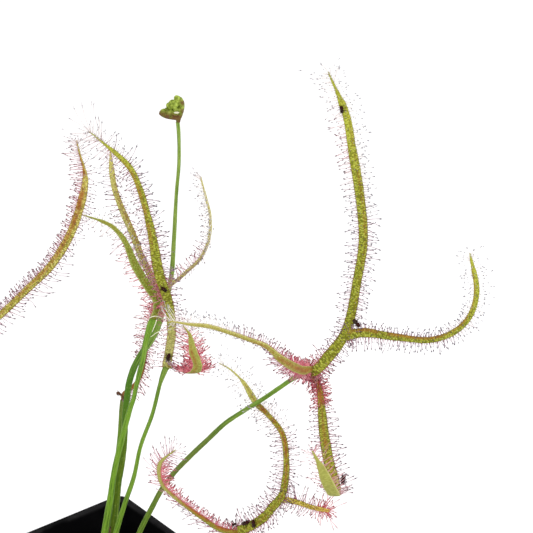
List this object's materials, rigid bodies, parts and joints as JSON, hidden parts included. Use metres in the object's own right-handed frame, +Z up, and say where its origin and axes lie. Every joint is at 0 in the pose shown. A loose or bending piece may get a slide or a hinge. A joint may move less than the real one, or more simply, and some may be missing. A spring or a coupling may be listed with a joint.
{
  "type": "potted forked sundew",
  "caption": "Forked sundew with sticky, tentacled, branching leaves and a budding flower stalk, growing in dark soil in a tapered square plastic nursery pot.",
  "frame": {"origin": "middle of the pot's flat underside, on the surface that the pot stands on", "axes": "+Z up through the pot; X and Y along the pot's square sides, with the plant leaning towards +X and -Y"},
  "size_m": [0.1308, 0.1463, 0.2628],
  "materials": {
    "pot": "satin",
    "soil": "matte",
    "leaf": "satin",
    "stalk": "satin",
    "dead_leaf": "matte"
  },
  "bodies": {
    "root": {"pot": "pot", "soil": "soil", "leaf_tall_right": "leaf", "leaf_middle": "leaf", "leaf_back_left": "leaf", "leaf_young_back": "leaf", "leaf_far_left": "leaf", "leaf_low_front": "leaf", "flower_stalk": "stalk", "old_leaf_stub": "dead_leaf"}
  },
  "joints": []
}
